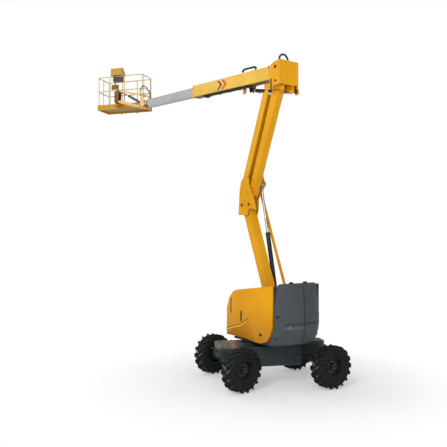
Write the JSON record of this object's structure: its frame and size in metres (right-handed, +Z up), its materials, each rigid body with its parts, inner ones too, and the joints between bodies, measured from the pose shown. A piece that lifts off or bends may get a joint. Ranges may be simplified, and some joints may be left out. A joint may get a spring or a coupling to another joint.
{
  "type": "articulating boom lift",
  "caption": "Self-propelled articulating boom lift: folding riser, telescoping main boom, levelled jib and a swinging work platform on a steered rough-terrain chassis.",
  "frame": {"origin": "on the ground, on the slew axis of the turret", "axes": "+X along the boom towards the platform, +Y to the left of the boom, +Z up; the chassis stands turned 66 degrees to the left of the boom"},
  "size_m": [11.451, 3.3498, 9.354],
  "materials": {
    "chassis_paint": "semi-gloss",
    "turret_paint": "semi-gloss",
    "weight_paint": "painted",
    "engine_iron": "painted",
    "hood_shell": "gloss",
    "riser_paint": "semi-gloss",
    "boom_paint": "semi-gloss",
    "inner_boom_paint": "semi-gloss",
    "barrel_paint": "gloss",
    "rod_chrome": "polished",
    "hose_rubber": "matt",
    "rail_paint": "satin",
    "tyre_rubber": "matt",
    "rim_paint": "satin",
    "platform_alloy": "satin",
    "console_shell": "satin"
  },
  "bodies": {
    "chassis": {"chassis_frame": "chassis_paint", "axles": "chassis_paint"},
    "knuckle_front_left": {"knuckle_front_left": "chassis_paint"},
    "wheel_front_left": {"tyre_front_left": "tyre_rubber", "rim_front_left": "rim_paint"},
    "knuckle_front_right": {"knuckle_front_right": "chassis_paint"},
    "wheel_front_right": {"tyre_front_right": "tyre_rubber", "rim_front_right": "rim_paint"},
    "tie_rod_front": {"tie_rod_front": "chassis_paint"},
    "knuckle_rear_left": {"knuckle_rear_left": "chassis_paint"},
    "wheel_rear_left": {"tyre_rear_left": "tyre_rubber", "rim_rear_left": "rim_paint"},
    "knuckle_rear_right": {"knuckle_rear_right": "chassis_paint"},
    "wheel_rear_right": {"tyre_rear_right": "tyre_rubber", "rim_rear_right": "rim_paint"},
    "tie_rod_rear": {"tie_rod_rear": "chassis_paint"},
    "turret": {"turret_frame": "turret_paint", "counterweight": "weight_paint", "engine_block": "engine_iron"},
    "hood_left": {"hood_left": "hood_shell"},
    "hood_right": {"hood_right": "hood_shell"},
    "lower_arm": {"lower_arm": "riser_paint"},
    "lower_link": {"lower_link": "riser_paint"},
    "knee": {"knee_block": "riser_paint"},
    "upper_arm": {"upper_arm": "riser_paint"},
    "upper_link": {"upper_link": "riser_paint"},
    "boom_head": {"boom_head": "riser_paint", "head_hose": "hose_rubber"},
    "riser_barrel": {"riser_barrel": "barrel_paint"},
    "riser_rod": {"riser_rod": "rod_chrome"},
    "boom_outer": {"boom_outer": "boom_paint", "boom_hose": "rail_paint"},
    "boom_inner": {"boom_inner": "inner_boom_paint", "tip_hose": "hose_rubber"},
    "luff_barrel": {"luff_barrel": "barrel_paint"},
    "luff_rod": {"luff_rod": "rod_chrome"},
    "jib_foot": {"jib_foot": "riser_paint"},
    "jib_upper_bar": {"jib_upper_bar": "riser_paint"},
    "jib_lower_bar": {"jib_lower_bar": "riser_paint"},
    "jib_barrel": {"jib_barrel": "barrel_paint"},
    "jib_rod": {"jib_rod": "rod_chrome"},
    "platform_mount": {"platform_mount": "barrel_paint"},
    "platform": {"basket": "platform_alloy", "control_console": "console_shell"},
    "gate": {"basket_gate": "platform_alloy"}
  },
  "joints": [
    {"name": "steer_front_left", "type": "hinge", "parent": "chassis", "child": "knuckle_front_left", "pos_m": [-0.21547, 1.21246, 0.47], "axis": [0, 0, 1], "range_deg": [-67.8, 2.2]},
    {"name": "steer_front_right", "type": "hinge", "parent": "chassis", "child": "knuckle_front_right", "pos_m": [1.04522, 0.65117, 0.47], "axis": [0, 0, 1], "range_deg": [-67.81, 2.21]},
    {"name": "tie_rod_front_turn", "type": "hinge", "parent": "knuckle_front_left", "child": "tie_rod_front", "pos_m": [-0.18641, 1.0247, 0.51], "axis": [0, 0, 1], "range_deg": [-2.21, 67.81]},
    {"name": "wheel_front_left_spin", "type": "hinge", "parent": "knuckle_front_left", "child": "wheel_front_left", "pos_m": [-0.50206, 1.1681, 0.47], "axis": [-0.9882, -0.153, 0], "continuous": true},
    {"name": "wheel_front_right_spin", "type": "hinge", "parent": "knuckle_front_right", "child": "wheel_front_right", "pos_m": [1.3318, 0.69553, 0.47], "axis": [-0.9882, -0.153, 0], "continuous": true},
    {"name": "steer_rear_left", "type": "hinge", "parent": "chassis", "child": "knuckle_rear_left", "pos_m": [-1.04522, -0.65117, 0.47], "axis": [0, 0, 1], "range_deg": [-57, 13]},
    {"name": "steer_rear_right", "type": "hinge", "parent": "chassis", "child": "knuckle_rear_right", "pos_m": [0.21547, -1.21246, 0.47], "axis": [0, 0, 1], "range_deg": [-57.01, 13.01]},
    {"name": "tie_rod_rear_turn", "type": "hinge", "parent": "knuckle_rear_left", "child": "tie_rod_rear", "pos_m": [-1.03859, -0.46128, 0.51], "axis": [0, 0, 1], "range_deg": [-13.01, 57.01]},
    {"name": "wheel_rear_left_spin", "type": "hinge", "parent": "knuckle_rear_left", "child": "wheel_rear_left", "pos_m": [-1.33504, -0.64105, 0.47], "axis": [-0.9994, 0.0349, 0], "continuous": true},
    {"name": "wheel_rear_right_spin", "type": "hinge", "parent": "knuckle_rear_right", "child": "wheel_rear_right", "pos_m": [0.5053, -1.22259, 0.47], "axis": [-0.9994, 0.0349, 0], "continuous": true},
    {"name": "turret_slew", "type": "hinge", "parent": "chassis", "child": "turret", "pos_m": [0, 0, 0.95], "axis": [0, 0, 1], "continuous": true},
    {"name": "hood_left_lift", "type": "hinge", "parent": "turret", "child": "hood_left", "pos_m": [0, 0.387, 2.12228], "axis": [0.9915, 0, -0.13], "range_deg": [0, 75]},
    {"name": "hood_right_lift", "type": "hinge", "parent": "turret", "child": "hood_right", "pos_m": [0, -0.387, 2.12228], "axis": [-0.9915, 0, 0.13], "range_deg": [0, 75]},
    {"name": "riser_fold", "type": "hinge", "parent": "turret", "child": "lower_arm", "pos_m": [-0.324, 0, 1.25], "axis": [0, 1, 0], "range_deg": [-2, 66]},
    {"name": "lower_link_turn", "type": "hinge", "parent": "turret", "child": "lower_link", "pos_m": [-0.424, 0, 1.61], "axis": [0, 1, 0], "range_deg": [-2.01, 66.01]},
    {"name": "knee_turn", "type": "hinge", "parent": "lower_arm", "child": "knee", "pos_m": [0.82, 0, 4.08], "axis": [0, 1, 0], "range_deg": [-66.01, 2.01]},
    {"name": "upper_arm_turn", "type": "hinge", "parent": "knee", "child": "upper_arm", "pos_m": [0.61, 0, 4.36], "axis": [0, 1, 0], "range_deg": [-59.41, 1.81]},
    {"name": "upper_link_turn", "type": "hinge", "parent": "knee", "child": "upper_link", "pos_m": [0.89, 0, 4.4], "axis": [0, 1, 0], "range_deg": [-59.41, 1.81]},
    {"name": "head_turn", "type": "hinge", "parent": "upper_arm", "child": "boom_head", "pos_m": [-0.36, 0, 6.74], "axis": [0, 1, 0], "range_deg": [-1.81, 59.41]},
    {"name": "riser_barrel_swing", "type": "hinge", "parent": "turret", "child": "riser_barrel", "pos_m": [-0.08, -0.215, 1.45], "axis": [0, 1, 0], "range_deg": [-2.07, 67.88]},
    {"name": "riser_rod_slide", "type": "slide", "parent": "riser_barrel", "child": "riser_rod", "axis": [0.2063, 0, 0.9785], "range_m": [-0.6389, 0.02033]},
    {"name": "boom_luff", "type": "hinge", "parent": "boom_head", "child": "boom_outer", "pos_m": [-0.55, 0, 7.12], "axis": [0, -1, 0], "range_deg": [-7.3, 70.7]},
    {"name": "luff_barrel_swing", "type": "hinge", "parent": "boom_head", "child": "luff_barrel", "pos_m": [-0.68, -0.2, 6.6], "axis": [0, -1, 0], "range_deg": [-5.74, 55.47]},
    {"name": "luff_rod_slide", "type": "slide", "parent": "luff_barrel", "child": "luff_rod", "axis": [0.9779, 0, 0.2091], "range_m": [-0.0439, 0.41651]},
    {"name": "boom_telescope", "type": "slide", "parent": "boom_outer", "child": "boom_inner", "axis": [0.9972, 0, 0.075], "range_m": [-2.5, 0]},
    {"name": "jib_foot_level", "type": "hinge", "parent": "boom_inner", "child": "jib_foot", "pos_m": [6.15, 0, 7.6], "axis": [0, -1, 0], "range_deg": [-70.71, 7.31]},
    {"name": "jib_luff", "type": "hinge", "parent": "jib_foot", "child": "jib_lower_bar", "pos_m": [6.45, 0, 7.5], "axis": [0, -1, 0], "range_deg": [-80.9, 54.1]},
    {"name": "jib_upper_bar_turn", "type": "hinge", "parent": "jib_foot", "child": "jib_upper_bar", "pos_m": [6.4, 0, 7.87], "axis": [0, -1, 0], "range_deg": [-80.91, 54.11]},
    {"name": "platform_level", "type": "hinge", "parent": "jib_lower_bar", "child": "platform_mount", "pos_m": [8.41965, 0, 8.06107], "axis": [0, -1, 0], "range_deg": [-54.11, 80.91]},
    {"name": "jib_barrel_swing", "type": "hinge", "parent": "jib_foot", "child": "jib_barrel", "pos_m": [6.5, -0.1, 7.56], "axis": [0, -1, 0], "range_deg": [-83.36, 55.75]},
    {"name": "jib_rod_slide", "type": "slide", "parent": "jib_barrel", "child": "jib_rod", "axis": [0.9132, 0, 0.4076], "range_m": [-0.27314, 0.18299]},
    {"name": "platform_swing", "type": "hinge", "parent": "platform_mount", "child": "platform", "pos_m": [8.6, 0, 7.886], "axis": [0, 0, 1], "range_deg": [-37.1, 142.9]},
    {"name": "gate_lift", "type": "slide", "parent": "platform", "child": "gate", "axis": [0, 0, 1], "range_m": [0, 0.4]}
  ],
  "couplings": [
    {"joint": "steer_front_right", "follows": "steer_front_left", "ratio": 1},
    {"joint": "tie_rod_front_turn", "follows": "steer_front_left", "ratio": -1},
    {"joint": "steer_rear_right", "follows": "steer_rear_left", "ratio": 1},
    {"joint": "tie_rod_rear_turn", "follows": "steer_rear_left", "ratio": -1},
    {"joint": "lower_link_turn", "follows": "riser_fold", "ratio": 1},
    {"joint": "knee_turn", "follows": "riser_fold", "ratio": -1},
    {"joint": "upper_arm_turn", "follows": "riser_fold", "ratio": -0.9},
    {"joint": "upper_link_turn", "follows": "riser_fold", "ratio": -0.9},
    {"joint": "head_turn", "follows": "riser_fold", "ratio": 0.9},
    {"joint": "riser_barrel_swing", "follows": "riser_fold", "ratio": 1.0284},
    {"joint": "riser_rod_slide", "follows": "riser_fold", "m_per_rad": -0.55378},
    {"joint": "luff_barrel_swing", "follows": "boom_luff", "ratio": 0.78443},
    {"joint": "luff_rod_slide", "follows": "boom_luff", "m_per_rad": 0.33673},
    {"joint": "jib_foot_level", "follows": "boom_luff", "ratio": -1},
    {"joint": "jib_upper_bar_turn", "follows": "jib_luff", "ratio": 1},
    {"joint": "platform_level", "follows": "jib_luff", "ratio": -1},
    {"joint": "jib_barrel_swing", "follows": "jib_luff", "ratio": 1.0303},
    {"joint": "jib_rod_slide", "follows": "jib_luff", "m_per_rad": 0.19274}
  ]
}
